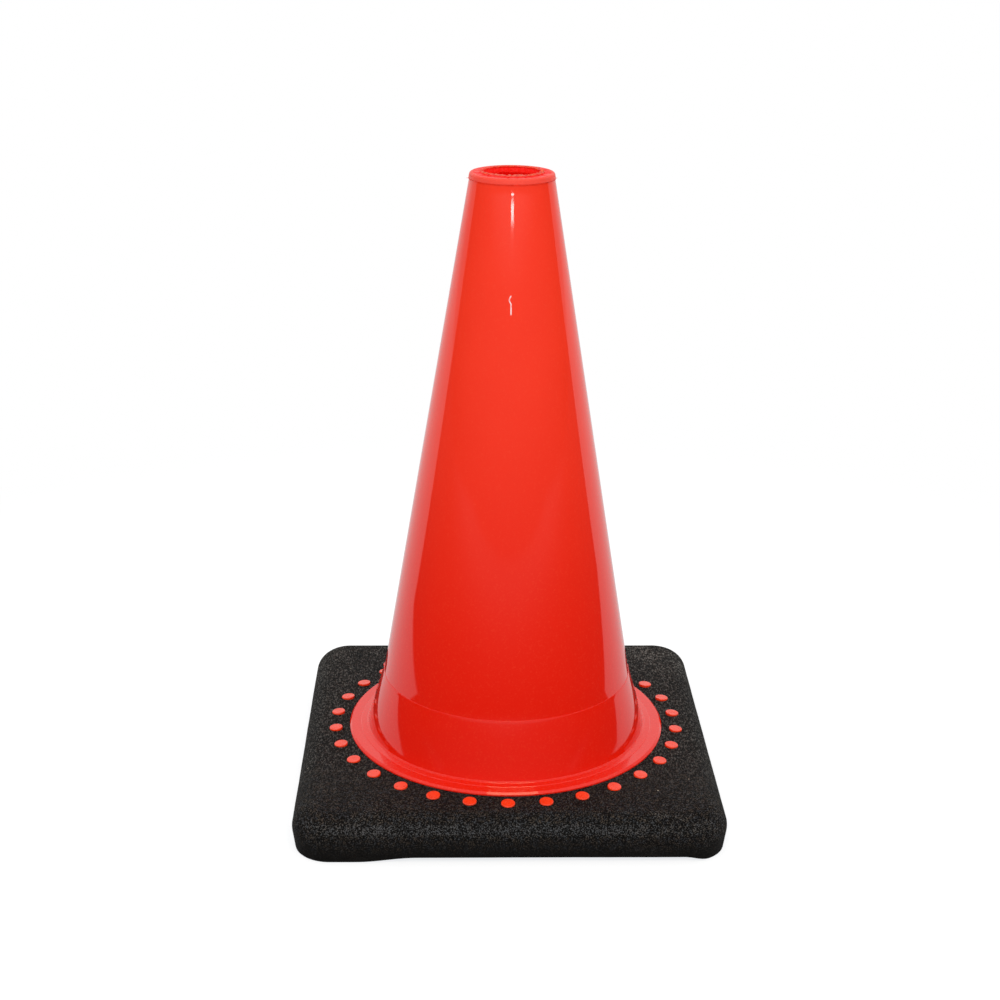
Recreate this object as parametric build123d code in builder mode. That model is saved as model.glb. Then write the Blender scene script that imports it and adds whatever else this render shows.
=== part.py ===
"""Traffic cone: a glossy hollow cone locked through a heavy square base.

The cone body's flange lies on top of the base and its skirt goes down through the base's bore.
A locking ring under the base is held by the foot of the skirt. Thirty pegs rise from the
ring through the base, and their buttons show as a circle of dots round the flange.
Sizes are in millimetres. The origin is the centre of the footprint, on the floor, and +Z is up.
"""

import os
from math import atan2, cos, degrees, radians, sin, tan

from build123d import *

# Cone wall
overall_height = 305.6
cone_seat_radius = 67.05
cone_top_radius = 20.0
cone_wall = 2.2
ledge_rise = 30.7
ledge_step = 0.4
ledge_rounding = 0.25

# Flange on top of the base, with a bevelled edge and a raised apron that climbs to the toe. Below
# the ledge the wall flares out to the toe, which is a low bead round the foot of the wall.
flange_width = 12.8
flange_thickness = 1.6
flange_bevel = 1.0
flange_bevel_rounding = 0.3
apron_width = 3.0
apron_step = 0.2
apron_rise = 0.3
toe_width = 4.0
toe_bead_width = 0.8
toe_step = 0.2
toe_fillet = 0.6

# Skirt through the base, and its foot under the locking ring
skirt_step = 0.5
skirt_wall = 2.6
foot_reach = 3.4
foot_thickness = 1.8

# Top collar and its inward lip, with the raised rim that trimming leaves round the hole
collar_height = 2.6
collar_step = 0.3
collar_edge_rounding = 1.0
lip_hole_radius = 13.0
lip_thickness = 2.6
lip_rim_height = 0.8
lip_rim_width = 2.2
lip_rim_rounding = 0.4

# Locking pegs and ring. The top of each peg leans outwards.
peg_count = 30
peg_radius = 3.3
peg_clear_of_flange = 3.9
peg_button_height = 0.7
peg_button_rounding = 0.3
peg_top_lean = 6.0
peg_head_radius = 4.6
peg_head_height = 1.5
first_peg_angle = -90.7
ring_thickness = 4.0
ring_edge_width = 2.7
ring_edge_rounding = 0.8

# Base
base_height = 22.7
base_recess_depth = 11.0
base_rim_width = 9.0
base_corner_radius = 18.5
base_top_fillet = 11.9
base_floor_fillet = 1.0
base_draft_angle = 8.5
corner_pad_side = 31.0
arch_height = 2.1
arch_ramp_length = 28.0
arch_blend_radius = 120.0

# Gaps between pieces that are moulded into each other
moulding_gap = 0.05
recess_gap = 1.2

# Radii of what nests round the axis, from the cone's wall outwards
skirt_radius = cone_seat_radius + skirt_step
skirt_inner_radius = skirt_radius - skirt_wall
foot_radius = skirt_radius + foot_reach
base_bore_radius = skirt_radius + moulding_gap
toe_radius = cone_seat_radius + toe_width
flange_radius = cone_seat_radius + flange_width
apron_radius = toe_radius + apron_width
peg_circle_radius = flange_radius + peg_clear_of_flange + peg_radius
ring_radius = peg_circle_radius + peg_radius + ring_edge_width
recess_radius = ring_radius + recess_gap
base_side = 2 * (recess_radius + base_rim_width)

# Heights of the seats that pieces share
flange_top_height = base_height + flange_thickness
apron_height = flange_top_height + apron_step
apron_top_height = apron_height + apron_rise
toe_height = apron_top_height + toe_step
ring_underside_height = base_recess_depth - ring_thickness
foot_seat_height = ring_underside_height + foot_thickness
ledge_height = base_height + ledge_rise
lip_top_height = overall_height - lip_rim_height
lip_underside_height = lip_top_height - lip_thickness
collar_bottom_height = lip_top_height - collar_height


def wall_radius(height):
    """Outer radius of the cone's wall above the ledge."""
    climb = (height - base_height) / (collar_bottom_height - base_height)
    return cone_seat_radius + climb * (cone_top_radius - cone_seat_radius)


class Outline(BaseSketchObject):
    """Closed face through corners given as across, up and the radius that rounds the corner."""

    def __init__(self, *corners, mode=Mode.ADD):
        with BuildSketch() as face:
            with BuildLine():
                FilletPolyline(
                    *[(across, up) for across, up, rounding in corners],
                    radius=[rounding for across, up, rounding in corners],
                    close=True,
                )
            make_face()
        super().__init__(obj=face.sketch, mode=mode)


# Base: a slab with drafted sides and a broad rounded edge, on four corner pads
side_flare = (base_height - base_top_fillet) * tan(radians(base_draft_angle))
floor_side = base_side - 2 * side_flare
arch_end = base_side / 2 - corner_pad_side

with BuildPart() as base:
    with BuildSketch(Plane.XY):
        RectangleRounded(floor_side, floor_side, base_corner_radius - side_flare)
    extrude(amount=base_height, taper=-base_draft_angle)
    fillet(faces().sort_by(Axis.Z)[-1].edges(), radius=base_top_fillet)
    fillet(faces().sort_by(Axis.Z)[0].edges(), radius=base_floor_fillet)

    # Shallow arches between the corner pads, through the base both ways
    for side_plane in (Plane.XZ, Plane.YZ):
        with BuildSketch(side_plane):
            Outline(
                (-arch_end, 0, 0),
                (arch_end, 0, 0),
                (arch_end - arch_ramp_length, arch_height, arch_blend_radius),
                (arch_ramp_length - arch_end, arch_height, arch_blend_radius),
            )
        extrude(amount=base_side, both=True, mode=Mode.SUBTRACT)

    # Recess for the locking ring, bore for the skirt and holes for the pegs
    with BuildSketch(Plane.XY):
        Circle(recess_radius)
    extrude(amount=base_recess_depth, mode=Mode.SUBTRACT)
    with BuildSketch(Plane.XY):
        Circle(base_bore_radius)
    extrude(amount=base_height, mode=Mode.SUBTRACT)
    with BuildSketch(Plane.XY):
        with PolarLocations(peg_circle_radius, peg_count, start_angle=first_peg_angle):
            Circle(peg_radius + moulding_gap)
    extrude(amount=base_height, mode=Mode.SUBTRACT)
base.part.label = "base"

# Cone body: skirt, flange, wall with its parting ledge, collar and inward lip, all one turned shell
with BuildPart() as cone_body:
    with BuildSketch(Plane.XZ):
        Outline(
            (skirt_inner_radius, ring_underside_height, 0),
            (foot_radius, ring_underside_height, 0),
            (foot_radius, foot_seat_height, 0),
            (skirt_radius, foot_seat_height, 0),
            (skirt_radius, base_height, 0),
            (flange_radius, base_height, 0),
            (flange_radius, flange_top_height - flange_bevel, flange_bevel_rounding),
            (flange_radius - flange_bevel, flange_top_height, flange_bevel_rounding),
            (apron_radius, flange_top_height, 0),
            (apron_radius, apron_height, 0),
            (toe_radius, apron_top_height, 0),
            (toe_radius, toe_height, 0),
            (toe_radius - toe_bead_width, toe_height, toe_fillet),
            (wall_radius(ledge_height) + ledge_step, ledge_height, ledge_rounding),
            (wall_radius(ledge_height), ledge_height, 0),
            (cone_top_radius, collar_bottom_height, 0),
            (cone_top_radius + collar_step, collar_bottom_height, 0),
            (cone_top_radius + collar_step, lip_top_height, collar_edge_rounding),
            (lip_hole_radius + lip_rim_width, lip_top_height, lip_rim_rounding),
            (lip_hole_radius + lip_rim_width, overall_height, lip_rim_rounding),
            (lip_hole_radius, overall_height, lip_rim_rounding),
            (lip_hole_radius, lip_underside_height, 0),
            (wall_radius(lip_underside_height) - cone_wall, lip_underside_height, 0),
            (skirt_inner_radius, base_height, 0),
        )
    revolve(axis=Axis.Z)
cone_body.part.label = "cone_body"

# Locking ring: clamped between the web of the base and the foot of the skirt
with BuildPart() as locking_ring:
    with BuildSketch(Plane.XZ):
        Outline(
            (foot_radius + moulding_gap, ring_underside_height, 0),
            (ring_radius, ring_underside_height, ring_edge_rounding),
            (ring_radius, base_recess_depth, 0),
            (base_bore_radius, base_recess_depth, 0),
            (base_bore_radius, foot_seat_height, 0),
            (foot_radius + moulding_gap, foot_seat_height, 0),
        )
    revolve(axis=Axis.Z)

    # Countersunk sockets for the heads of the pegs
    with BuildSketch(Plane.XY.offset(ring_underside_height)):
        with PolarLocations(peg_circle_radius, peg_count, start_angle=first_peg_angle):
            Circle(peg_head_radius + moulding_gap)
    head_angle = degrees(atan2(peg_head_radius - peg_radius, peg_head_height))
    extrude(amount=peg_head_height, taper=head_angle, mode=Mode.SUBTRACT)
    with BuildSketch(Plane.XY.offset(ring_underside_height)):
        with PolarLocations(peg_circle_radius, peg_count, start_angle=first_peg_angle):
            Circle(peg_radius + moulding_gap)
    extrude(amount=ring_thickness, mode=Mode.SUBTRACT)
locking_ring.part.label = "locking_ring"

os.makedirs("parts", exist_ok=True)
for piece in (base, cone_body, locking_ring):
    export_step(piece.part, f"parts/{piece.part.label}.step")

# Locking pegs: a countersunk head in the ring, a shank through the base and a low button on top
button_height = base_height + peg_button_height
button_slope = tan(radians(peg_top_lean))
for peg_number in range(peg_count):
    peg_angle = radians(first_peg_angle + peg_number * 360 / peg_count)
    outwards = Vector(cos(peg_angle), sin(peg_angle), 0)
    peg_plane = Plane(outwards * peg_circle_radius, x_dir=outwards, z_dir=outwards.cross(Vector(0, 0, 1)))
    button_centre = peg_plane.origin + Vector(0, 0, button_height)
    button_plane = Plane(button_centre, z_dir=outwards * button_slope + Vector(0, 0, 1))
    with BuildPart() as locking_peg:
        with BuildSketch(peg_plane):
            Outline(
                (0, ring_underside_height, 0),
                (peg_head_radius, ring_underside_height, 0),
                (peg_radius, ring_underside_height + peg_head_height, 0),
                (peg_radius, button_height + peg_radius * button_slope, 0),
                (0, button_height + peg_radius * button_slope, 0),
            )
        revolve(axis=Axis(peg_plane.origin, (0, 0, 1)))
        split(bisect_by=button_plane, keep=Keep.BOTTOM)
        fillet(faces().sort_by(Axis.Z)[-1].edges(), radius=peg_button_rounding)
    locking_peg.part.label = f"locking_peg_{peg_number + 1:02d}"
    export_step(locking_peg.part, f"parts/{locking_peg.part.label}.step")
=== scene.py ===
"""Traffic cone: the moulded skins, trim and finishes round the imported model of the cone.

Each operator makes one piece or one group of like pieces, and the last one makes the stage.
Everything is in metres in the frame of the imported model: the origin is on the floor at the
centre of the base, +Z is up and -Y is the front.
"""

from math import atan2, cos, pi, radians, sin, tan, tau

import bmesh
import bpy
from bpy.props import FloatProperty, FloatVectorProperty, IntProperty, PointerProperty
from mathutils import Matrix, Vector, noise


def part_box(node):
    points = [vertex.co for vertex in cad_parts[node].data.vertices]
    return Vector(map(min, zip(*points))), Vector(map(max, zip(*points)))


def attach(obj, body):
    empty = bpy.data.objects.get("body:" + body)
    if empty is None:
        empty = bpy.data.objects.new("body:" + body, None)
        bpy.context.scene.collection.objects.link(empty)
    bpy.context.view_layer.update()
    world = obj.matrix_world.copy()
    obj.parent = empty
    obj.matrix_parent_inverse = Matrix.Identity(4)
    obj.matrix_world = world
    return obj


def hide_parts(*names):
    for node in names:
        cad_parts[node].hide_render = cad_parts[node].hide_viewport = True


bl_info = {
    "name": "Traffic Cone",
    "version": (1, 0, 0),
    "blender": (4, 5, 0),
    "location": "3D View > Sidebar > Cone",
    "description": "Moulded skins, trim and finishes for a traffic cone with a locked base",
    "category": "Add Mesh",
}

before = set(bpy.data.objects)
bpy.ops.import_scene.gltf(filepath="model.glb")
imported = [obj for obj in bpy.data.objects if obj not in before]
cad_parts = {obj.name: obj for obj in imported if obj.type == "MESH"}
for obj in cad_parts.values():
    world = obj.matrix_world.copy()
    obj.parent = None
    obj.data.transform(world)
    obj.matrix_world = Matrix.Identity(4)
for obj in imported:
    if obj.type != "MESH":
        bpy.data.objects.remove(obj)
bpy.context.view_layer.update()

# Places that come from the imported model
BODY_LOW, BODY_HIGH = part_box("cone_body")
_, BASE_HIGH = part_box("base")
_, RING_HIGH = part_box("locking_ring")
PEG_NODES = sorted(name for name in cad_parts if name.startswith("locking_peg_"))
CONE_HEIGHT = BODY_HIGH.z
FLANGE_RADIUS = BODY_HIGH.x
FOOT_UNDERSIDE = BODY_LOW.z
BASE_TOP = BASE_HIGH.z
BASE_HALF_SIDE = BASE_HIGH.x
WEB_UNDERSIDE = RING_HIGH.z

# Fineness of the meshes: steps round a rounded corner of the body's outline, along the flared wall
# below the ledge and round the base's top fillet, and the longest face along the outline
ARC_STEPS, FLARE_STEPS, FILLET_STEPS, LONGEST_FACE = 8, 16, 14, 0.005

# Edges sharper than this stay creased
CREASE_ANGLE = radians(35)

# How closely heights are compared
TOLERANCE = 0.0001

# Slight waviness of the body's wall
WALL_WAVE = 0.000015

# Trimmed rim of the hole: how far it hangs in at the front, and how deep its bites and teeth are
RIM_OVERHANG, RIM_BITE, RIM_TOOTH = 0.0028, 0.0005, 0.0009

# Notches in the trimmed rim: direction, depth and half width as an angle
RIM_NOTCHES = ((radians(-104), 0.0014, radians(8)), (radians(-56), 0.0016, radians(8)),
               (radians(40), 0.0008, radians(9)), (radians(165), 0.0007, radians(9)))

# Rough top of the lip: height of its lumps, depth of its dips, how far it reaches past the rim,
# and over what width it fades
LIP_LUMP, LIP_DIP, LIP_REACH, LIP_FADE = 0.00026, 0.00110, 0.004, 0.002

# Moulding flash: how far it lies under its edge, how deep its root is in the wall, half its
# thickness at its root and tip, how far it drifts up and down, and half a spike's width in radians
FLASH_DROP, FLASH_ROOT, FLASH_HALF_ROOT, FLASH_HALF_TIP = 0.0003, 0.0006, 0.00012, 0.00004
FLASH_DRIFT, SPIKE_HALF_WIDTH = 0.00006, 0.05

# Fins of flash: how far each stands out, and the direction and reach of its spikes
COLLAR_FIN, COLLAR_SPIKES = 0.00016, ((0.04, 0.0009), (pi + 0.02, 0.0010))
LEDGE_FIN, LEDGE_SPIKES = 0.00006, ((pi - 0.05, 0.0007), (0.03, 0.0003))

# Circles of points on top of the base, between its bore and where the square shape begins
BASE_CIRCLES = (0.079, 0.084, 0.0905)

# Skin of the base: how far it lies inside the solid, its broad and small swellings, and the
# radius from which the top has them, because the flange lies flat on the rest
SKIN_INSET, SKIN_SWELL, SKIN_RIPPLE, SKIN_FROM = 0.00015, 0.00012, 0.00005, 0.082

# Bent scratch on the front of the wall, painted pale as a glint: heights of its ends and of its
# bend, how far left of the middle it is, and how far it bends to the left
SCRATCH_LOW, SCRATCH_HIGH = 0.2438, 0.2532
SCRATCH_BEND_FROM, SCRATCH_BEND_AT = 0.2487, 0.2509
SCRATCH_LEFT, SCRATCH_BEND = 0.0007, 0.0008

# Colours of details, with full alpha
LAND_RED = (0.86, 0.0115, 0.0010, 1.0)
MOTTLE_ORANGE = (0.97, 0.13, 0.06, 1.0)
COLLAR_RED = (0.95, 0.050, 0.024, 1.0)
CRUMB_RED = (0.86, 0.014, 0.004, 1.0)
CRUMB_ORANGE = (1.0, 0.130, 0.026, 1.0)
INSIDE_RED = (0.80, 0.010, 0.004, 1.0)
# Painted glow seen down the hole
LIGHT_THROUGH = (0.25, 0.002, 0.001, 1.0)
# A real scratch, its paleness a painted glint
SCRATCH_GLINT_PINK = (0.97, 0.72, 0.76, 1.0)
BLACK = (0.0, 0.0, 0.0, 1.0)
GRAIN_BROWN = (0.070, 0.057, 0.046, 1.0)
GRAIN_BLUE = (0.050, 0.054, 0.061, 1.0)
# Painted sheen along the base's front edge
PAINTED_SHEEN_GREY = (0.078, 0.081, 0.088, 1.0)
FLECK_CREAM = (0.42, 0.38, 0.30, 1.0)

# Edge of the white sheet that reflections show. It starts in front of the base, runs back beside
# the cone and spreads, and behind the cone widens along a slope up to the horizon.
SHEET_FRONT = -0.16
SHEET_LEFT, SHEET_LEFT_FROM, SHEET_LEFT_SPREAD = 0.301, -0.058, 0.74
SHEET_RIGHT, SHEET_RIGHT_FROM, SHEET_RIGHT_SPREAD = 0.270, 0.0, 1.56
SHEET_BACK, SHEET_SLOPE = 0.010, 0.32

# Level of the even light from all round, and how much is added from the front
PLAIN_LIGHT = 0.84
FRONT_LIGHT = 0.38

# Half the side of the floor, and where the lamps are: the key lamp in the room, the glint lamp to
# the right of and below the camera. A lamp's size is its width and height.
FLOOR_HALF_SIDE = 3.0
KEY_PLACE, KEY_SIZE = (0.08, -0.78, 1.35), (0.7, 0.4)
GLINT_RIGHT, GLINT_DOWN, GLINT_SIZE = 0.03, 0.038, (0.10, 0.018)


# --- sizes, finishes and stage -----------------------------------------------------------------


class ConeShape(bpy.types.PropertyGroup):
    """Sizes of the turned cone body that its box doesn't give"""

    seat_radius: FloatProperty(
        name="Seat radius", description="Outside of the wall at the top of the base",
        default=0.06705, unit="LENGTH")
    neck_radius: FloatProperty(
        name="Neck radius", description="Outside of the wall under the collar",
        default=0.0200, unit="LENGTH")
    wall: FloatProperty(
        name="Wall", description="Thickness of the wall",
        default=0.0022, unit="LENGTH")
    ledge_rise: FloatProperty(
        name="Ledge rise", description="Height of the parting ledge over the base",
        default=0.0307, unit="LENGTH")
    ledge_step: FloatProperty(
        name="Ledge step", description="How far the wall below the ledge stands out",
        default=0.0002, unit="LENGTH")
    flare_bulge: FloatProperty(
        name="Flare bulge", description="How far the flared wall below the ledge swells out",
        default=0.00012, unit="LENGTH")
    flange_thickness: FloatProperty(
        name="Flange thickness", description="Thickness of the flange's flat land",
        default=0.0016, unit="LENGTH")
    flange_bevel: FloatProperty(
        name="Flange bevel", description="Width of the bevel along the flange's edge",
        default=0.0010, unit="LENGTH")
    apron_width: FloatProperty(
        name="Apron width", description="Width of the raised apron round the toe",
        default=0.0030, unit="LENGTH")
    apron_step: FloatProperty(
        name="Apron step", description="Height of the apron's edge over the flange",
        default=0.0002, unit="LENGTH")
    apron_rise: FloatProperty(
        name="Apron rise", description="How far the apron climbs from its edge to the toe",
        default=0.0003, unit="LENGTH")
    toe_width: FloatProperty(
        name="Toe width", description="From the seat radius out to the edge of the toe",
        default=0.0040, unit="LENGTH")
    toe_bead: FloatProperty(
        name="Toe bead", description="Width of the low bead round the foot of the wall",
        default=0.0008, unit="LENGTH")
    toe_step: FloatProperty(
        name="Toe step", description="Height of the bead over the apron",
        default=0.0002, unit="LENGTH")
    collar_height: FloatProperty(
        name="Collar height", description="Height of the band at the top",
        default=0.0026, unit="LENGTH")
    collar_step: FloatProperty(
        name="Collar step", description="How far the band stands out of the wall",
        default=0.0003, unit="LENGTH")
    collar_lean: FloatProperty(
        name="Collar lean", description="How far the band leans in towards its top",
        default=0.0005, unit="LENGTH")
    hole_radius: FloatProperty(
        name="Hole radius", description="Radius of the hole in the lip",
        default=0.0130, unit="LENGTH")
    lip_thickness: FloatProperty(
        name="Lip thickness", description="Thickness of the lip round the hole",
        default=0.0026, unit="LENGTH")
    rim_height: FloatProperty(
        name="Rim height", description="Height of the trimmed rim over the lip",
        default=0.0008, unit="LENGTH")
    rim_width: FloatProperty(
        name="Rim width", description="Width of the trimmed rim round the hole",
        default=0.0022, unit="LENGTH")
    skirt_radius: FloatProperty(
        name="Skirt radius", description="Outside of the skirt through the base",
        default=0.06755, unit="LENGTH")
    skirt_wall: FloatProperty(
        name="Skirt wall", description="Thickness of the skirt through the base",
        default=0.0026, unit="LENGTH")
    foot_reach: FloatProperty(
        name="Foot reach", description="How far the foot reaches under the locking ring",
        default=0.0034, unit="LENGTH")
    foot_thickness: FloatProperty(
        name="Foot thickness", description="Thickness of the foot under the locking ring",
        default=0.0018, unit="LENGTH")


class BaseShape(bpy.types.PropertyGroup):
    """Sizes of the base that its box doesn't give"""

    corner_radius: FloatProperty(
        name="Corner radius", description="Radius of the corners seen from above",
        default=0.0185, unit="LENGTH")
    top_fillet: FloatProperty(
        name="Top fillet", description="Radius of the broad rounding along the top edge",
        default=0.0119, unit="LENGTH")
    floor_fillet: FloatProperty(
        name="Floor fillet", description="Radius along the lower edge",
        default=0.0010, unit="LENGTH")
    draft: FloatProperty(
        name="Draft", description="Angle at which the sides pull in towards the floor",
        default=radians(8.5), unit="ROTATION")
    bore_radius: FloatProperty(
        name="Bore radius", description="Radius of the bore round the skirt",
        default=0.0676, unit="LENGTH")
    recess_radius: FloatProperty(
        name="Recess radius", description="Radius of the recess round the locking ring",
        default=0.0942, unit="LENGTH")
    pad_side: FloatProperty(
        name="Pad side", description="Side of the pad under each corner",
        default=0.0310, unit="LENGTH")
    arch_height: FloatProperty(
        name="Arch height", description="Rise of the lower edge between the pads",
        default=0.0021, unit="LENGTH")
    arch_ramp: FloatProperty(
        name="Arch ramp", description="Length over which the arch rises from a pad",
        default=0.0280, unit="LENGTH")
    worn_pad: FloatProperty(
        name="Worn pad", description="Width of what is left of the pad at the front right",
        default=0.0090, unit="LENGTH")
    worn_ramp: FloatProperty(
        name="Worn ramp", description="Length over which the arch rises from the worn pad",
        default=0.0120, unit="LENGTH")


class Finishes(bpy.types.PropertyGroup):
    """Colours of the two vinyls"""

    # This and the next colour are the ends of painted shade: the red deepens towards the base
    vinyl: FloatVectorProperty(
        name="Vinyl", description="Orange-red of the cone's upper part",
        subtype="COLOR", size=3, min=0, max=1, default=(0.94, 0.043, 0.018))
    vinyl_low_painted_shade: FloatVectorProperty(
        name="Vinyl, low", description="Deeper red of the cone near its base",
        subtype="COLOR", size=3, min=0, max=1, default=(0.79, 0.0100, 0.0014))
    lock: FloatVectorProperty(
        name="Locks", description="Orange-red of the locking ring and pegs",
        subtype="COLOR", size=3, min=0, max=1, default=(0.95, 0.044, 0.004))
    black: FloatVectorProperty(
        name="Black", description="Recycled black vinyl of the base",
        subtype="COLOR", size=3, min=0, max=1, default=(0.0035, 0.0031, 0.0029))
    scuff: FloatVectorProperty(
        name="Scuff", description="Dusty grey of scuffs and grain on the base",
        subtype="COLOR", size=3, min=0, max=1, default=(0.190, 0.183, 0.172))


class StageSettings(bpy.types.PropertyGroup):
    """Camera and light"""

    distance: FloatProperty(
        name="Distance", description="From the camera to the point it looks at",
        default=0.9041, unit="LENGTH")
    elevation: FloatProperty(
        name="Elevation", description="Height of the camera above the horizon",
        default=radians(19.76), unit="ROTATION")
    azimuth: FloatProperty(
        name="Azimuth", description="Turn of the camera round the cone",
        default=radians(-1.476), unit="ROTATION")
    roll: FloatProperty(
        name="Roll", description="Tilt of the camera about its own axis",
        default=radians(-0.586), unit="ROTATION")
    aim: FloatVectorProperty(
        name="Aim", description="Point that the camera looks at",
        subtype="TRANSLATION", unit="LENGTH", size=3, default=(-0.0041, 0.0, 0.1433))
    lens: FloatProperty(
        name="Lens", description="Focal length on a 36 mm sensor, in millimetres",
        default=66.07)
    key_power: FloatProperty(
        name="Key power", description="Power of the large soft lamp, in watts",
        default=3.4)
    key_tone: FloatVectorProperty(
        name="Key tone", description="Colour of the large soft lamp",
        subtype="COLOR", size=3, min=0, max=1, default=(1.0, 0.76, 0.45))
    glint_power: FloatProperty(
        name="Glint power", description="Power of the narrow lamp beside the camera, in watts",
        default=0.11)


# --- shader expressions ------------------------------------------------------------------------


class Wire:
    """An output of a node. Arithmetic on it adds the Math nodes."""

    def __init__(self, shading, node, output=0):
        self.shading = shading
        self.node = node
        self.output = output

    def math(self, operation, *values):
        """Math node of an operation on numbers or wires."""
        return self.shading.add(
            "ShaderNodeMath", {"operation": operation}, dict(enumerate(values)))

    def __add__(self, other):
        return self.math("ADD", self, other)

    def __radd__(self, other):
        return self.math("ADD", other, self)

    def __sub__(self, other):
        return self.math("SUBTRACT", self, other)

    def __rsub__(self, other):
        return self.math("SUBTRACT", other, self)

    def __mul__(self, other):
        return self.math("MULTIPLY", self, other)

    def __rmul__(self, other):
        return self.math("MULTIPLY", other, self)

    def __pow__(self, other):
        return self.math("POWER", self, other)

    def __rpow__(self, other):
        return self.math("POWER", other, self)

    def __lt__(self, other):
        return self.math("LESS_THAN", self, other)

    def __gt__(self, other):
        return self.math("GREATER_THAN", self, other)

    def __abs__(self):
        return self.math("ABSOLUTE", self)

    def at_least(self, other):
        return self.math("MAXIMUM", self, other)

    def at_most(self, other):
        return self.math("MINIMUM", self, other)

    def ramp(self, low, high):
        """Smooth step from 0 at low to 1 at high."""
        return self.shading.add(
            "ShaderNodeMapRange", {"interpolation_type": "SMOOTHSTEP", "clamp": True},
            {"Value": self, "From Min": low, "From Max": high})


class Shading:
    """A node tree under construction, for a material or the world."""

    def __init__(self, owner):
        owner.use_nodes = True
        self.tree = owner.node_tree
        self.tree.nodes.clear()

    def add(self, kind, settings=None, sockets=None, output=0):
        """Adds a node: its settings are set first, then the values or links of its sockets."""
        node = self.tree.nodes.new(kind)
        for name, value in (settings or {}).items():
            setattr(node, name, value)
        for name, value in (sockets or {}).items():
            if isinstance(value, Wire):
                self.tree.links.new(value.node.outputs[value.output], node.inputs[name])
            else:
                node.inputs[name].default_value = value
        return Wire(self, node, output)

    def place(self):
        """Position in the frame of the model."""
        return self.add("ShaderNodeTexCoord", output="Object")

    def parts(self, vector):
        """The x, y and z of a vector."""
        node = self.add("ShaderNodeSeparateXYZ", sockets={"Vector": vector}).node
        return [Wire(self, node, axis) for axis in ("X", "Y", "Z")]

    def stretched(self, vector, scale, turn=(0.0, 0.0, 0.0)):
        """A vector scaled along each axis and turned, for texture that runs one way."""
        return self.add("ShaderNodeMapping", sockets={
            "Vector": vector, "Scale": scale, "Rotation": turn})

    def noise(self, vector, scale, detail=2.0, roughness=0.5, distortion=0.0):
        """Noise between 0 and 1, with scale in features per metre."""
        return self.add("ShaderNodeTexNoise", sockets={
            "Vector": vector, "Scale": scale, "Detail": detail,
            "Roughness": roughness, "Distortion": distortion})

    def mix(self, factor, first, second):
        """Blend of two colours."""
        return self.add(
            "ShaderNodeMix", {"data_type": "RGBA"}, {0: factor, 6: first, 7: second}, output=2)

    def bump(self, height, distance, **sockets):
        """Bump of a height between 0 and 1 that is worth a distance in metres."""
        return self.add("ShaderNodeBump", sockets={
            "Height": height, "Distance": distance, "Strength": 1.0, **sockets})

    def principled(self, **sockets):
        """Ends a material in a Principled shader; a socket's name has underscores for spaces."""
        named = {name.replace("_", " "): value for name, value in sockets.items()}
        self.end("ShaderNodeOutputMaterial", self.add("ShaderNodeBsdfPrincipled", sockets=named))

    def glow(self, level):
        """Emission of a grey level."""
        return self.add(
            "ShaderNodeEmission", sockets={"Color": (level, level, level, 1), "Strength": 1})

    def diffuse(self, rgb):
        """Matt surface of a colour."""
        return self.add("ShaderNodeBsdfDiffuse", sockets={"Color": colour(rgb)})

    def ray(self, kind):
        """1 for rays of a kind, such as Is Camera Ray, and 0 for the others."""
        return self.add("ShaderNodeLightPath", output=kind)

    def either(self, factor, first, second):
        """First shader where the factor is 0, second where it is 1."""
        return self.add("ShaderNodeMixShader", sockets={0: factor, 1: first, 2: second})

    def end(self, kind, shader):
        """Ends the tree in its output node."""
        self.add(kind, sockets={"Surface": shader})


def colour(rgb):
    """A colour with full alpha."""
    return (*rgb, 1.0)


def scaled(rgb, factor):
    """A colour made lighter or darker, with full alpha."""
    return colour(min(channel * factor, 1.0) for channel in rgb)


def scratch_glint_mask(x, y, height, crumbs):
    """Where the bent scratch on the wall's front is, broken up by the crumbs; its paleness is a
    painted glint.
    """
    bend = height.ramp(SCRATCH_BEND_FROM, SCRATCH_BEND_AT)
    bend = bend * (1 - height.ramp(SCRATCH_BEND_AT, SCRATCH_HIGH))
    across = abs(x + SCRATCH_LEFT + SCRATCH_BEND * bend)
    along = height.ramp(SCRATCH_LOW, SCRATCH_LOW + 0.0008)
    along = along * (1 - height.ramp(SCRATCH_HIGH - 0.0007, SCRATCH_HIGH)) * (y < 0.0)
    return along * (1 - across.ramp(0.00018, 0.00042)) * (0.55 + 0.45 * crumbs.ramp(0.40, 0.55))


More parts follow.
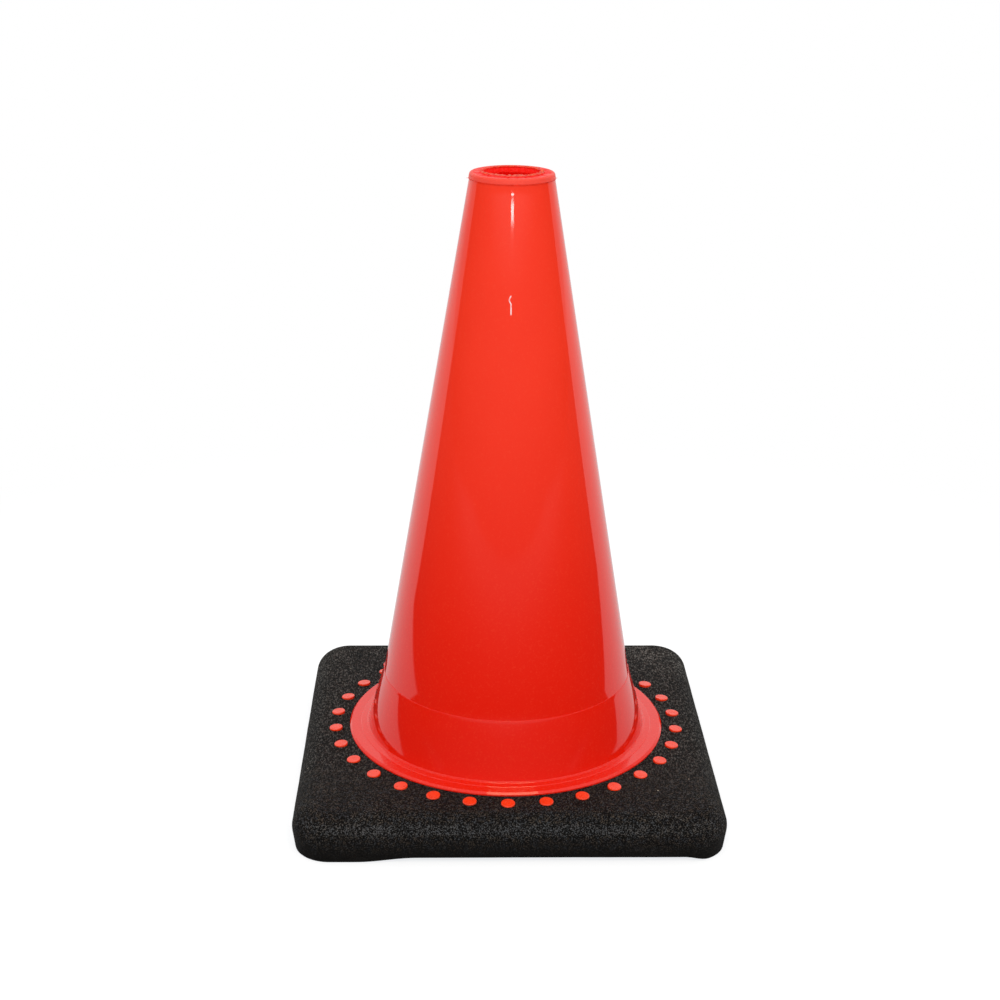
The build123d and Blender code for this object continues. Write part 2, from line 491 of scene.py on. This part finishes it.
def cone_vinyl(scene):
    """Glossy moulded vinyl, its red deepened near the base by painted shade, with a matt collar and
    a torn lip.
    """
    shape = scene.cone_shape
    finishes = scene.cone_finishes
    material = bpy.data.materials.new("glossy_vinyl")
    sh = Shading(material)
    place = sh.place()
    x, y, height = sh.parts(place)
    from_axis = (x * x + y * y) ** 0.5

    band = collar_bottom(shape)
    collar = height.ramp(band - 0.0001, band + 0.0001)
    # Torn ring round the hole, with a ragged border, on the rim and the top of the lip only
    edge = lip_top(shape) - 0.0003
    torn_radius = shape.hole_radius + 0.0020
    ragged = (sh.noise(place, 330.0, detail=3.0, roughness=0.6) - 0.5) * 0.022
    cut = 1 - (from_axis + ragged).ramp(torn_radius, torn_radius + 0.0014)
    cut = cut * height.ramp(edge, edge + 0.0005)
    # Painted glow over a deeper red down the hole, standing in for light through the wall and lip
    slope = (shape.seat_radius - shape.neck_radius) / (band - BASE_TOP)
    depth = shape.neck_radius + (band - height) * slope - from_axis
    inside = depth.ramp(0.0010, 0.0018) * height.ramp(band - 0.040, band - 0.015)
    inside = inside * (1 - height.ramp(edge + 0.0003, edge + 0.0009))
    # Flange and apron, up to the toe
    apron = flange_top(shape) + shape.apron_step
    land = 1 - height.ramp(apron, apron + 0.0015)

    cloud = sh.noise(place, 28.0, detail=3.0)
    mottle = sh.noise(place, 900.0, detail=3.0, roughness=0.7)
    crumbs = sh.noise(place, 750.0, detail=2.0)
    # Painted shade: the red deepens towards the base
    tint = sh.mix(height.ramp(0.04, 0.25), colour(finishes.vinyl_low_painted_shade), colour(finishes.vinyl))
    tint = sh.mix(land, tint, LAND_RED)
    tint = sh.mix(cloud.ramp(0.35, 0.75) * 0.08, tint, scaled(finishes.vinyl_low_painted_shade, 0.9))
    tint = sh.mix(mottle.ramp(0.5, 0.75) * (0.12 + 0.20 * land), tint, MOTTLE_ORANGE)
    tint = sh.mix(collar * 0.9, tint, COLLAR_RED)
    tint = sh.mix(cut, tint, sh.mix(crumbs.ramp(0.45, 0.58), CRUMB_RED, CRUMB_ORANGE))
    tint = sh.mix(inside, tint, INSIDE_RED)
    tint = sh.mix(scratch_glint_mask(x, y, height, crumbs), tint, SCRATCH_GLINT_PINK)
    glow = sh.mix(inside, BLACK, LIGHT_THROUGH)

    sag = sh.noise(place, 30.0, detail=1.0)
    trimmed = sh.noise(place, 1300.0, detail=3.0)
    normal = sh.bump(sag, 0.000015)
    normal = sh.bump(trimmed * (collar * 0.3 + cut * 0.7), 0.0010, Normal=normal)
    roughness = 0.045 + cloud * 0.02 + collar * 0.40 + cut * 0.10
    sh.principled(Base_Color=tint, Roughness=roughness, Normal=normal, IOR=1.5,
                  Emission_Color=glow, Emission_Strength=1.0)
    return material


def lock_vinyl(scene):
    """Satin vinyl of the ring and the pegs."""
    material = bpy.data.materials.new("satin_vinyl")
    sh = Shading(material)
    place = sh.place()
    lock = scene.cone_finishes.lock
    cloud = sh.noise(place, 300.0, detail=3.0)
    grain = sh.noise(place, 2600.0, detail=2.0)
    tint = sh.mix(cloud.ramp(0.3, 0.7), scaled(lock, 0.93), scaled(lock, 1.05))
    normal = sh.bump(cloud, 0.00030)
    normal = sh.bump(grain, 0.00002, Normal=normal)
    sh.principled(Base_Color=tint, Roughness=0.20 + cloud * 0.16, Normal=normal, IOR=1.6)
    return material


def base_black(scene):
    """Matt black recycled vinyl: sparkling grain, dusty scuffs at the corners, pale flecks, painted
    sheen and shade.
    """
    material = bpy.data.materials.new("recycled_black")
    sh = Shading(material)
    place = sh.place()
    finishes = scene.cone_finishes
    black, scuff = colour(finishes.black), colour(finishes.scuff)
    x, y, z = sh.parts(place)

    grain = sh.noise(place, 1750.0, detail=2.0, roughness=0.6)
    coarse = sh.noise(place, 950.0, detail=2.0, roughness=0.6)
    fine = sh.noise(place, 3000.0, detail=1.0)
    threads = sh.stretched(place, (1.0, 0.40, 1.0))
    rough = sh.noise(threads, 1250.0, detail=2.0, roughness=0.7, distortion=0.5)
    hue = sh.noise(place, 520.0, detail=3.0)
    smoke = sh.noise(place, 40.0, detail=6.0, roughness=0.65, distortion=0.8)
    fibres = sh.stretched(place, (1.0, 2.4, 3.0), turn=(0.2, 0.1, 0.7))
    strands = sh.noise(fibres, 120.0, detail=5.0, roughness=0.7, distortion=1.2)
    cells = sh.add("ShaderNodeTexVoronoi", {"feature": "F1"},
                   {"Vector": place, "Scale": 70.0, "Randomness": 1.0}, output="Distance")

    # Dusty scuffs, most of them at the back corners and more on the right
    corner = (abs(x) + abs(y)).ramp(0.130, 0.185)
    back = y.ramp(-0.02, 0.08)
    dust = smoke.ramp(0.38, 0.66) * (0.25 + 0.75 * back) * (0.25 + 0.75 * corner)
    dust = dust * (0.85 + 0.40 * x.ramp(-0.02, 0.08))
    dust = dust * (0.20 + 1.10 * strands.ramp(0.42, 0.60))
    # Band of painted sheen along the front's rounded edge, paler mostly in its middle
    front_edge = (0.0 - y).ramp(0.080, 0.094)
    painted_sheen = z.ramp(0.0132, 0.0160) * (1 - z.ramp(0.0180, 0.0198)) * front_edge
    painted_sheen = painted_sheen * (1 - 0.7 * abs(x + 0.010).ramp(0.050, 0.095))
    # Grain and grit: both fade towards the floor as painted shade, and grit takes the place of
    # grain further back
    low = z.ramp(0.001, 0.018)
    behind = y.ramp(-0.090, -0.030)
    speckle = (grain * 0.80 + coarse * 0.20).ramp(0.50, 0.60) * (0.06 + 0.94 * low)
    speckle = speckle * (1 - 0.60 * behind) * (0.95 + 0.05 * z.ramp(0.0150, 0.0200))
    grit = rough.ramp(0.52, 0.60) * behind * low

    stain = sh.mix(hue.ramp(0.40, 0.60), GRAIN_BROWN, GRAIN_BLUE)
    tint = sh.mix(speckle, black, stain)
    tint = sh.mix(painted_sheen * speckle * 0.9, tint, PAINTED_SHEEN_GREY)
    tint = sh.mix(grit * 0.39, tint, scuff)
    tint = sh.mix(dust * (0.05 + 0.95 * speckle.at_least(grit)), tint, scuff)
    tint = sh.mix((cells < 0.030) * 0.8, tint, FLECK_CREAM)

    normal = sh.bump(grain, 0.00040)
    normal = sh.bump(fine, 0.00012, Normal=normal)
    normal = sh.bump(smoke, 0.0004, Normal=normal)
    roughness = 0.62 + grain * 0.25 + dust * 0.2 - painted_sheen * 0.12
    sh.principled(Base_Color=tint, Roughness=roughness, Normal=normal, Specular_IOR_Level=0.06)
    return material


# --- meshes ------------------------------------------------------------------------------------


def rounded(corners):
    """Closed outline through (across, up, rounding) corners, with arcs at the roundings."""
    outline = []
    for index, (across, up, rounding) in enumerate(corners):
        corner = Vector((across, up))
        if not rounding:
            outline.append(corner)
            continue
        back = (Vector(corners[index - 1][:2]) - corner).normalized()
        ahead = (Vector(corners[(index + 1) % len(corners)][:2]) - corner).normalized()
        half_angle = back.angle(ahead) / 2
        centre = corner + (back + ahead).normalized() * (rounding / sin(half_angle))
        first = corner + back * (rounding / tan(half_angle)) - centre
        last = corner + ahead * (rounding / tan(half_angle)) - centre
        turn = atan2(first.x * last.y - first.y * last.x, first.dot(last))
        for step in range(ARC_STEPS + 1):
            spin = Matrix.Rotation(turn * step / ARC_STEPS, 2)
            outline.append(centre + spin @ first)
    return outline


def divided(outline, longest):
    """The closed outline with extra points, so that no run is longer than the one given."""
    points = []
    for start, end in zip(outline, outline[1:] + outline[:1]):
        steps = max(1, round((end - start).length / longest + 0.499))
        points += [start.lerp(end, step / steps) for step in range(steps)]
    return points


def ring_mesh(name, rows):
    """Closed mesh from rows of points that each go once round, the last row joined to the first."""
    points = [point for row in rows for point in row]
    columns = len(rows[0])
    faces = []
    for row in range(len(rows)):
        next_row = (row + 1) % len(rows)
        for column in range(columns):
            next_column = (column + 1) % columns
            faces.append((
                row * columns + column, row * columns + next_column,
                next_row * columns + next_column, next_row * columns + column))
    mesh = bpy.data.meshes.new(name)
    mesh.from_pydata(points, [], faces)
    mesh.validate()
    return mesh


def finished(mesh, name):
    """Object of a mesh with smooth faces and sharp creases, its faces turned outwards."""
    shell = bmesh.new()
    shell.from_mesh(mesh)
    bmesh.ops.recalc_face_normals(shell, faces=shell.faces)
    shell.to_mesh(mesh)
    shell.free()
    mesh.polygons.foreach_set("use_smooth", [True] * len(mesh.polygons))
    mesh.set_sharp_from_angle(angle=CREASE_ANGLE)
    piece = bpy.data.objects.new(name, mesh)
    bpy.context.scene.collection.objects.link(piece)
    return piece


def made_material(name):
    """A material that an earlier operator made."""
    if name not in bpy.data.materials:
        raise RuntimeError(f"the material {name} isn't made yet: make the cone body first")
    return bpy.data.materials[name]


def paint(piece, material):
    """Makes a material the only one of a piece."""
    piece.data.materials.clear()
    piece.data.materials.append(material)


def dress(piece, material, replaced=()):
    """Gives a piece its material and slot, and lets it ride in place of CAD nodes."""
    paint(piece, material)
    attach(piece, "root")
    if replaced:
        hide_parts(*replaced)


def flange_top(shape):
    """Height of the flange's flat land."""
    return BASE_TOP + shape.flange_thickness


def lip_top(shape):
    """Height of the lip's flat top, under the trimmed rim."""
    return CONE_HEIGHT - shape.rim_height


def collar_bottom(shape):
    """Height of the collar's lower edge."""
    return lip_top(shape) - shape.collar_height


def wall_radius(shape, height):
    """Outer radius of the cone's wall above the ledge."""
    climb = (height - BASE_TOP) / (collar_bottom(shape) - BASE_TOP)
    return shape.seat_radius + climb * (shape.neck_radius - shape.seat_radius)


def body_outline(shape):
    """Outline of the cone body, from the foot of the skirt up the outside and down the inside."""
    skirt_inside = shape.skirt_radius - shape.skirt_wall
    foot_radius = shape.skirt_radius + shape.foot_reach
    foot_seat = FOOT_UNDERSIDE + shape.foot_thickness
    bevel_top = FLANGE_RADIUS - shape.flange_bevel
    land = flange_top(shape)
    toe_radius = shape.seat_radius + shape.toe_width
    apron_radius = toe_radius + shape.apron_width
    apron_edge = land + shape.apron_step
    apron_top = apron_edge + shape.apron_rise
    toe_height = apron_top + shape.toe_step
    ledge = BASE_TOP + shape.ledge_rise
    ledge_radius = wall_radius(shape, ledge)
    band_bottom = collar_bottom(shape)
    collar_radius = shape.neck_radius + shape.collar_step
    lip_height = lip_top(shape)
    lip_underside = lip_height - shape.lip_thickness
    rim_radius = shape.hole_radius + shape.rim_width
    wall_foot = Vector((toe_radius - shape.toe_bead, toe_height))
    brow = Vector((ledge_radius + shape.ledge_step, ledge))
    flare = []
    for step in range(1, FLARE_STEPS):
        share = step / FLARE_STEPS
        at = wall_foot.lerp(brow, share)
        flare.append((at.x + shape.flare_bulge * sin(pi * share), at.y, 0))
    return rounded([
        (skirt_inside, FOOT_UNDERSIDE, 0.0004),
        (foot_radius, FOOT_UNDERSIDE, 0.0004),
        (foot_radius, foot_seat, 0),
        (shape.skirt_radius, foot_seat, 0),
        (shape.skirt_radius, BASE_TOP, 0),
        (FLANGE_RADIUS, BASE_TOP, 0),
        (FLANGE_RADIUS, land - shape.flange_bevel, 0.00025),
        (bevel_top, land, 0.00025),
        (apron_radius, land, 0.00004),
        (apron_radius - shape.apron_step, apron_edge, 0.00004),
        (toe_radius, apron_top, 0.00004),
        (toe_radius - shape.toe_step, toe_height, 0.00004),
        (wall_foot.x, wall_foot.y, 0.0005),
        *flare,
        (brow.x, brow.y, 0.00015),
        (ledge_radius, ledge, 0.00005),
        (shape.neck_radius, band_bottom, 0.00010),
        (collar_radius, band_bottom, 0.00012),
        (collar_radius - shape.collar_lean, lip_height, 0.0012),
        (rim_radius, lip_height, 0.0004),
        (rim_radius, CONE_HEIGHT, 0.0005),
        (shape.hole_radius, CONE_HEIGHT, 0.0004),
        (shape.hole_radius, lip_underside, 0.0003),
        (wall_radius(shape, lip_underside) - shape.wall, lip_underside, 0.0006),
        (skirt_inside, BASE_TOP, 0.004),
    ])


def rim_reach(side, angle):
    """How far the ragged rim reaches into the hole at an angle, less its bites and notches."""
    front = max(0.0, -side.y) ** 3
    bite = noise.noise(side * 4.6 + Vector((7, 0, 0)))
    tooth = noise.noise(side * 12.0 + Vector((0, 9, 0)))
    reach = RIM_OVERHANG * front - RIM_BITE * bite - RIM_TOOTH * tooth
    for at, depth, width in RIM_NOTCHES:
        away = abs((angle - at + pi) % tau - pi) / width
        reach -= depth * max(0.0, 1 - away)
    return reach


def lip_sink(side, across):
    """How far the rough top of the lip lies under its full height, less at the front and back."""
    lump = noise.noise(side * 9.0 + Vector((0, 3, across * 260)))
    dip = noise.noise(side * 19.0 + Vector((5, 0, across * 420)))
    sink = LIP_LUMP * (1 + lump) + LIP_DIP * max(0.0, dip)
    return sink * (1 - 0.35 * abs(side.y))


class CONE_OT_body(bpy.types.Operator):
    """Makes the glossy cone body, with its ledge, flange, collar and trimmed lip"""

    bl_idname = "cone.body"
    bl_label = "Cone body"

    columns: IntProperty(name="Columns", description="Faces round the axis", default=288, min=24)

    def execute(self, context):
        shape = context.scene.cone_shape
        lip_height = lip_top(shape)
        lip_underside = lip_height - shape.lip_thickness
        rough_radius = shape.hole_radius + shape.rim_width + LIP_REACH
        rows = []
        for across, up in divided(body_outline(shape), LONGEST_FACE):
            # How far a point belongs to the trimmed rim of the hole, and to the rough top
            near_hole = max(0.0, 1 - max(0.0, across - shape.hole_radius) / shape.rim_width)
            trimmed = near_hole if up > lip_underside - TOLERANCE else 0.0
            on_top = up > lip_height - 3 * TOLERANCE and across < rough_radius
            rough = min(1.0, (rough_radius - across) / LIP_FADE) if on_top else 0.0
            row = []
            for column in range(self.columns):
                angle = tau * column / self.columns
                side = Vector((cos(angle), sin(angle), 0))
                wave = noise.noise(side * 3.1 + Vector((0, 0, up * 24)))
                radius = across + WALL_WAVE * wave
                height = up
                if trimmed:
                    radius -= trimmed * rim_reach(side, angle)
                if rough:
                    height -= rough * lip_sink(side, across)
                row.append(side * radius + Vector((0, 0, height)))
            rows.append(row)
        piece = finished(ring_mesh("cone_body_skin", rows), "cone_body_skin")
        dress(piece, cone_vinyl(context.scene), ["cone_body"])
        return {"FINISHED"}


def corner_plan(half_side, corner_radius, per_side):
    """Points and outward directions once round a square with round corners, starting at +X."""
    straight = half_side - corner_radius
    half = per_side // 3
    arc_steps = per_side - 2 * half
    side = [(Vector((half_side, straight * step / half)), Vector((1, 0))) for step in range(half)]
    for step in range(arc_steps):
        angle = pi / 2 * step / arc_steps
        out = Vector((cos(angle), sin(angle)))
        side.append((Vector((straight, straight)) + out * corner_radius, out))
    for step in range(half):
        side.append((Vector((straight * (1 - step / half), half_side)), Vector((0, 1))))
    turns = [Matrix.Rotation(quarter * pi / 2, 2) for quarter in range(4)]
    return [(turn @ point, turn @ out) for turn in turns for point, out in side]


def underside(shape, point):
    """Height of the base's lower edge at a point: it arches between the pads at the corners."""
    def arch(along, pad, ramp):
        climb = min(max((BASE_HALF_SIDE - pad - abs(along)) / ramp, 0), 1)
        return shape.arch_height * climb * climb * (3 - 2 * climb)

    across_y = arch(point.y, shape.pad_side, shape.arch_ramp)
    if point.x > 0 and point.y < 0:
        return max(arch(point.x, shape.worn_pad, shape.worn_ramp), across_y)
    return max(arch(point.x, shape.pad_side, shape.arch_ramp), across_y)


def base_rings(shape, plan):
    """Rings of (place, height) from the bore over the top, down the side and in to the recess."""
    fillet, floor_fillet = shape.top_fillet, shape.floor_fillet
    arc_end = pi / 2 + shape.draft
    side_top = BASE_TOP - fillet * (1 - cos(arc_end))

    def circle(radius):
        return [point.normalized() * radius for point, _ in plan]

    def inset(depth):
        return [point - out * depth for point, out in plan]

    def between(first, last, share):
        return [start.lerp(end, share) for start, end in zip(first, last)]

    def level(places, height):
        return [(at, height) for at in places]

    def arched(places, lift, share=1.0):
        """A share of the way from the top of the side down to a lift above the lower edge."""
        return [(at, side_top + (underside(shape, at) + lift - side_top) * share) for at in places]

    rings = [level(circle(shape.bore_radius), WEB_UNDERSIDE)]
    for radius in (shape.bore_radius, *BASE_CIRCLES):
        rings.append(level(circle(radius), BASE_TOP))
    for share in (0.25, 0.5, 0.75):
        rings.append(level(between(circle(BASE_CIRCLES[-1]), inset(fillet), share), BASE_TOP))
    for step in range(FILLET_STEPS + 1):
        angle = arc_end * step / FILLET_STEPS
        rings.append(level(inset(fillet * (1 - sin(angle))), BASE_TOP - fillet * (1 - cos(angle))))
    for share in (0.25, 0.5, 0.75, 1.0):
        depth = fillet * (1 - sin(arc_end)) + (side_top - floor_fillet) * share * tan(shape.draft)
        rings.append(arched(inset(depth), floor_fillet, share))
    for angle in (radians(30), radians(60), radians(90)):
        lower = inset(depth + floor_fillet * (1 - cos(angle)))
        rings.append(arched(lower, floor_fillet * (1 - sin(angle))))
    recess_edge = circle(shape.recess_radius)
    for share in (0.33, 0.66):
        rings.append(arched(between(lower, recess_edge, share), 0.0))
    return [*rings, arched(recess_edge, 0.0), level(recess_edge, WEB_UNDERSIDE)]


def base_skin(at, height):
    """Point of the base's slightly uneven skin, which lies just inside the surface of the solid."""
    point = Vector((at.x, at.y, height))
    swell = noise.noise(point * 45) * SKIN_SWELL + noise.noise(point * 190) * SKIN_RIPPLE
    below_top = height < BASE_TOP - TOLERANCE
    uncovered = at.length > SKIN_FROM
    if below_top or uncovered:
        point -= Vector((at.x, at.y, 0)).normalized() * (swell + SKIN_INSET)
    if not below_top and uncovered:
        point.z -= swell + SKIN_INSET
    return point


class CONE_OT_base(bpy.types.Operator):
    """Makes the heavy black base, with its broad rounded edge and its arched lower edge"""

    bl_idname = "cone.base"
    bl_label = "Base"

    per_side: IntProperty(name="Per side", description="Faces along each side", default=96, min=12)

    def execute(self, context):
        shape = context.scene.base_shape
        plan = corner_plan(BASE_HALF_SIDE, shape.corner_radius, self.per_side)
        rows = [[base_skin(at, height) for at, height in ring] for ring in base_rings(shape, plan)]
        piece = finished(ring_mesh("base_block", rows), "base_block")
        dress(piece, base_black(context.scene), ["base"])
        return {"FINISHED"}


class CONE_OT_locks(bpy.types.Operator):
    """Finishes the locking ring and the thirty locking pegs"""

    bl_idname = "cone.locks"
    bl_label = "Locking ring and pegs"

    def execute(self, context):
        material = lock_vinyl(context.scene)
        for name in ["locking_ring", *PEG_NODES]:
            paint(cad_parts[name], material)
        return {"FINISHED"}


class CONE_OT_flash(bpy.types.Operator):
    """Makes the thin moulding flash on the collar and on the parting ledge"""

    bl_idname = "cone.flash"
    bl_label = "Moulding flash"

    columns: IntProperty(name="Columns", description="Faces round the axis", default=288, min=24)

    def flash(self, name, radius, height, fin, spikes, seed):
        """Makes a ragged fin round the cone, with a spike in some directions."""
        rows = [[] for _ in range(4)]
        for column in range(self.columns):
            angle = tau * column / self.columns
            side = Vector((cos(angle), sin(angle), 0))
            ragged = 0.55 + 0.9 * noise.noise(side * 7.0 + Vector((seed, 0, 0)))
            reach = fin * max(ragged, 0.1)
            for at, extra in spikes:
                away = (angle - at + pi) % tau - pi
                reach = max(reach, extra * (1 - abs(away) / SPIKE_HALF_WIDTH))
            drift = FLASH_DRIFT * noise.noise(side * 4.0 + Vector((0, seed, 0)))
            for row, (across, up) in zip(rows, (
                    (radius - FLASH_ROOT, FLASH_HALF_ROOT), (radius + reach, FLASH_HALF_TIP),
                    (radius + reach, -FLASH_HALF_TIP), (radius - FLASH_ROOT, -FLASH_HALF_ROOT))):
                row.append(side * across + Vector((0, 0, height + up + drift)))
        dress(finished(ring_mesh(name, rows), name), made_material("glossy_vinyl"))

    def execute(self, context):
        shape = context.scene.cone_shape
        collar = shape.neck_radius + shape.collar_step
        self.flash("collar_flash", collar, collar_bottom(shape) - FLASH_DROP,
                   COLLAR_FIN, COLLAR_SPIKES, seed=2.0)
        ledge = BASE_TOP + shape.ledge_rise
        brow = wall_radius(shape, ledge) + shape.ledge_step
        self.flash("ledge_flash", brow, ledge - FLASH_DROP, LEDGE_FIN, LEDGE_SPIKES, seed=5.0)
        return {"FINISHED"}


# --- stage -------------------------------------------------------------------------------------


def studio_world():
    """White for the camera. For reflections a white sheet behind, a dim room in front with a light
    ceiling, and a dark gap between them. For everything else an even light, more of it in front."""
    world = bpy.data.worlds.new("studio")
    bpy.context.scene.world = world
    sh = Shading(world)
    x, y, z = sh.parts(sh.add("ShaderNodeTexCoord", output="Generated"))
    past_edge = y - abs(x) * SHEET_SLOPE
    sheet = past_edge.ramp(-0.012, 0.012)
    sheet_level = 0.55 + 0.55 * past_edge.ramp(0.1, 0.9)
    front = (0.0 - y).at_least(0.0)
    room_level = 0.01 + front * (0.15 + 0.45 * z.ramp(0.09, 0.16))
    level = room_level + sheet * (sheet_level - room_level)
    ceiling = z.ramp(0.20, 0.75)
    level = level + ceiling * (0.9 - level)
    glossy, camera = sh.ray("Is Glossy Ray"), sh.ray("Is Camera Ray")
    even = PLAIN_LIGHT + FRONT_LIGHT * front
    level = even + glossy * (level - even)
    level = level + camera * (1.0 - level)
    background = sh.add("ShaderNodeBackground", sockets={"Color": (1, 1, 1, 1), "Strength": level})
    sh.end("ShaderNodeOutputWorld", background)


def paper():
    """White floor that keeps the cone's shadow; reflections see it end at the sheet's edge."""
    material = bpy.data.materials.new("white_paper")
    sh = Shading(material)
    x, y, _ = sh.parts(sh.place())
    left = x + SHEET_LEFT + SHEET_LEFT_SPREAD * (y - SHEET_LEFT_FROM).at_least(0.0)
    right = SHEET_RIGHT + SHEET_RIGHT_SPREAD * (y - SHEET_RIGHT_FROM).at_least(0.0) - x
    near = (y - SHEET_FRONT).at_most(left).at_most(right)
    far = y - SHEET_BACK - abs(x) * SHEET_SLOPE
    sheet = near.at_least(far).ramp(-0.010, 0.010)
    room_floor = sh.either((0.0 - y).ramp(0.2, 2.2), sh.glow(0.06), sh.glow(0.30))
    mirrored = sh.either(sheet, room_floor, sh.glow(0.78))
    # The camera sees a lifted grey that takes the shadow, and plain white further out
    lift = sh.add("ShaderNodeEmission", sockets={"Color": (0.75, 0.76, 0.78, 1), "Strength": 1})
    shadowed = sh.add("ShaderNodeAddShader", sockets={0: sh.diffuse((0.34, 0.34, 0.33)), 1: lift})
    away = ((x * x + y * y) ** 0.5).ramp(0.22, 0.55)
    seen = sh.either(away, shadowed, sh.glow(1.0))
    unseen = sh.either(sh.ray("Is Glossy Ray"), sh.diffuse((0.6, 0.6, 0.6)), mirrored)
    sh.end("ShaderNodeOutputMaterial", sh.either(sh.ray("Is Camera Ray"), unseen, seen))
    return material


def white_floor():
    """Square of white paper under the cone."""
    mesh = bpy.data.meshes.new("floor")
    half = FLOOR_HALF_SIDE
    mesh.from_pydata([(-half, -half, 0), (half, -half, 0), (half, half, 0), (-half, half, 0)],
                     [], [(0, 1, 2, 3)])
    mesh.materials.append(paper())
    floor = bpy.data.objects.new("floor", mesh)
    bpy.context.scene.collection.objects.link(floor)


def lamp(name, place, aim, size, power, tone=(1, 1, 1)):
    """Area lamp that shines from a place at a point."""
    data = bpy.data.lights.new(name, "AREA")
    data.shape = "RECTANGLE"
    data.size, data.size_y = size
    data.energy = power
    data.color = tone
    light = bpy.data.objects.new(name, data)
    bpy.context.scene.collection.objects.link(light)
    light.location = place
    light.rotation_euler = (Vector(aim) - Vector(place)).to_track_quat("-Z", "Y").to_euler()


class CONE_OT_stage(bpy.types.Operator):
    """Makes the camera, the lamps, the white floor and the studio round it"""

    bl_idname = "cone.stage"
    bl_label = "Stage"

    def execute(self, context):
        scene = context.scene
        stage = scene.cone_stage
        scene.view_settings.view_transform = "Standard"

        back = Vector((sin(stage.azimuth) * cos(stage.elevation),
                       -cos(stage.azimuth) * cos(stage.elevation), sin(stage.elevation)))
        right = Vector((cos(stage.azimuth), sin(stage.azimuth), 0))
        up = back.cross(right)
        turned = Matrix((
            right * cos(stage.roll) - up * sin(stage.roll),
            right * sin(stage.roll) + up * cos(stage.roll), back)).transposed()
        data = bpy.data.cameras.new("camera")
        data.lens = stage.lens
        data.clip_start, data.clip_end = 0.05, 50
        camera = bpy.data.objects.new("camera", data)
        scene.collection.objects.link(camera)
        place = Vector(stage.aim) + back * stage.distance
        camera.matrix_world = Matrix.Translation(place) @ turned.to_4x4()
        scene.camera = camera

        white_floor()
        studio_world()
        middle = (0, 0, CONE_HEIGHT / 2)
        lamp("key_lamp", KEY_PLACE, middle, KEY_SIZE, stage.key_power, stage.key_tone)
        beside = place + right * GLINT_RIGHT - up * GLINT_DOWN
        lamp("glint_lamp", beside, middle, GLINT_SIZE, stage.glint_power)
        return {"FINISHED"}


class CONE_PT_panel(bpy.types.Panel):
    """Lists the operators that make the cone"""

    bl_label = "Traffic Cone"
    bl_idname = "CONE_PT_panel"
    bl_space_type = "VIEW_3D"
    bl_region_type = "UI"
    bl_category = "Cone"

    def draw(self, context):
        for operator in OPERATORS:
            self.layout.operator(operator.bl_idname)
        for group in (context.scene.cone_shape, context.scene.base_shape,
                      context.scene.cone_finishes, context.scene.cone_stage):
            box = self.layout.box()
            for name in group.__annotations__:
                box.prop(group, name)


OPERATORS = (CONE_OT_body, CONE_OT_flash, CONE_OT_base, CONE_OT_locks, CONE_OT_stage)
GROUPS = (ConeShape, BaseShape, Finishes, StageSettings)


def register():
    """Registers the classes and hangs the settings on the scene."""
    for kind in (*GROUPS, *OPERATORS, CONE_PT_panel):
        bpy.utils.register_class(kind)
    bpy.types.Scene.cone_shape = PointerProperty(type=ConeShape)
    bpy.types.Scene.base_shape = PointerProperty(type=BaseShape)
    bpy.types.Scene.cone_finishes = PointerProperty(type=Finishes)
    bpy.types.Scene.cone_stage = PointerProperty(type=StageSettings)


def unregister():
    """Takes away what register added."""
    for name in ("cone_shape", "base_shape", "cone_finishes", "cone_stage"):
        delattr(bpy.types.Scene, name)
    for kind in reversed((*GROUPS, *OPERATORS, CONE_PT_panel)):
        bpy.utils.unregister_class(kind)


def main():
    """Makes every piece and the stage."""
    register()
    bpy.ops.cone.body()
    bpy.ops.cone.flash()
    bpy.ops.cone.base()
    bpy.ops.cone.locks()
    bpy.ops.cone.stage()


if __name__ == "__main__":
    main()
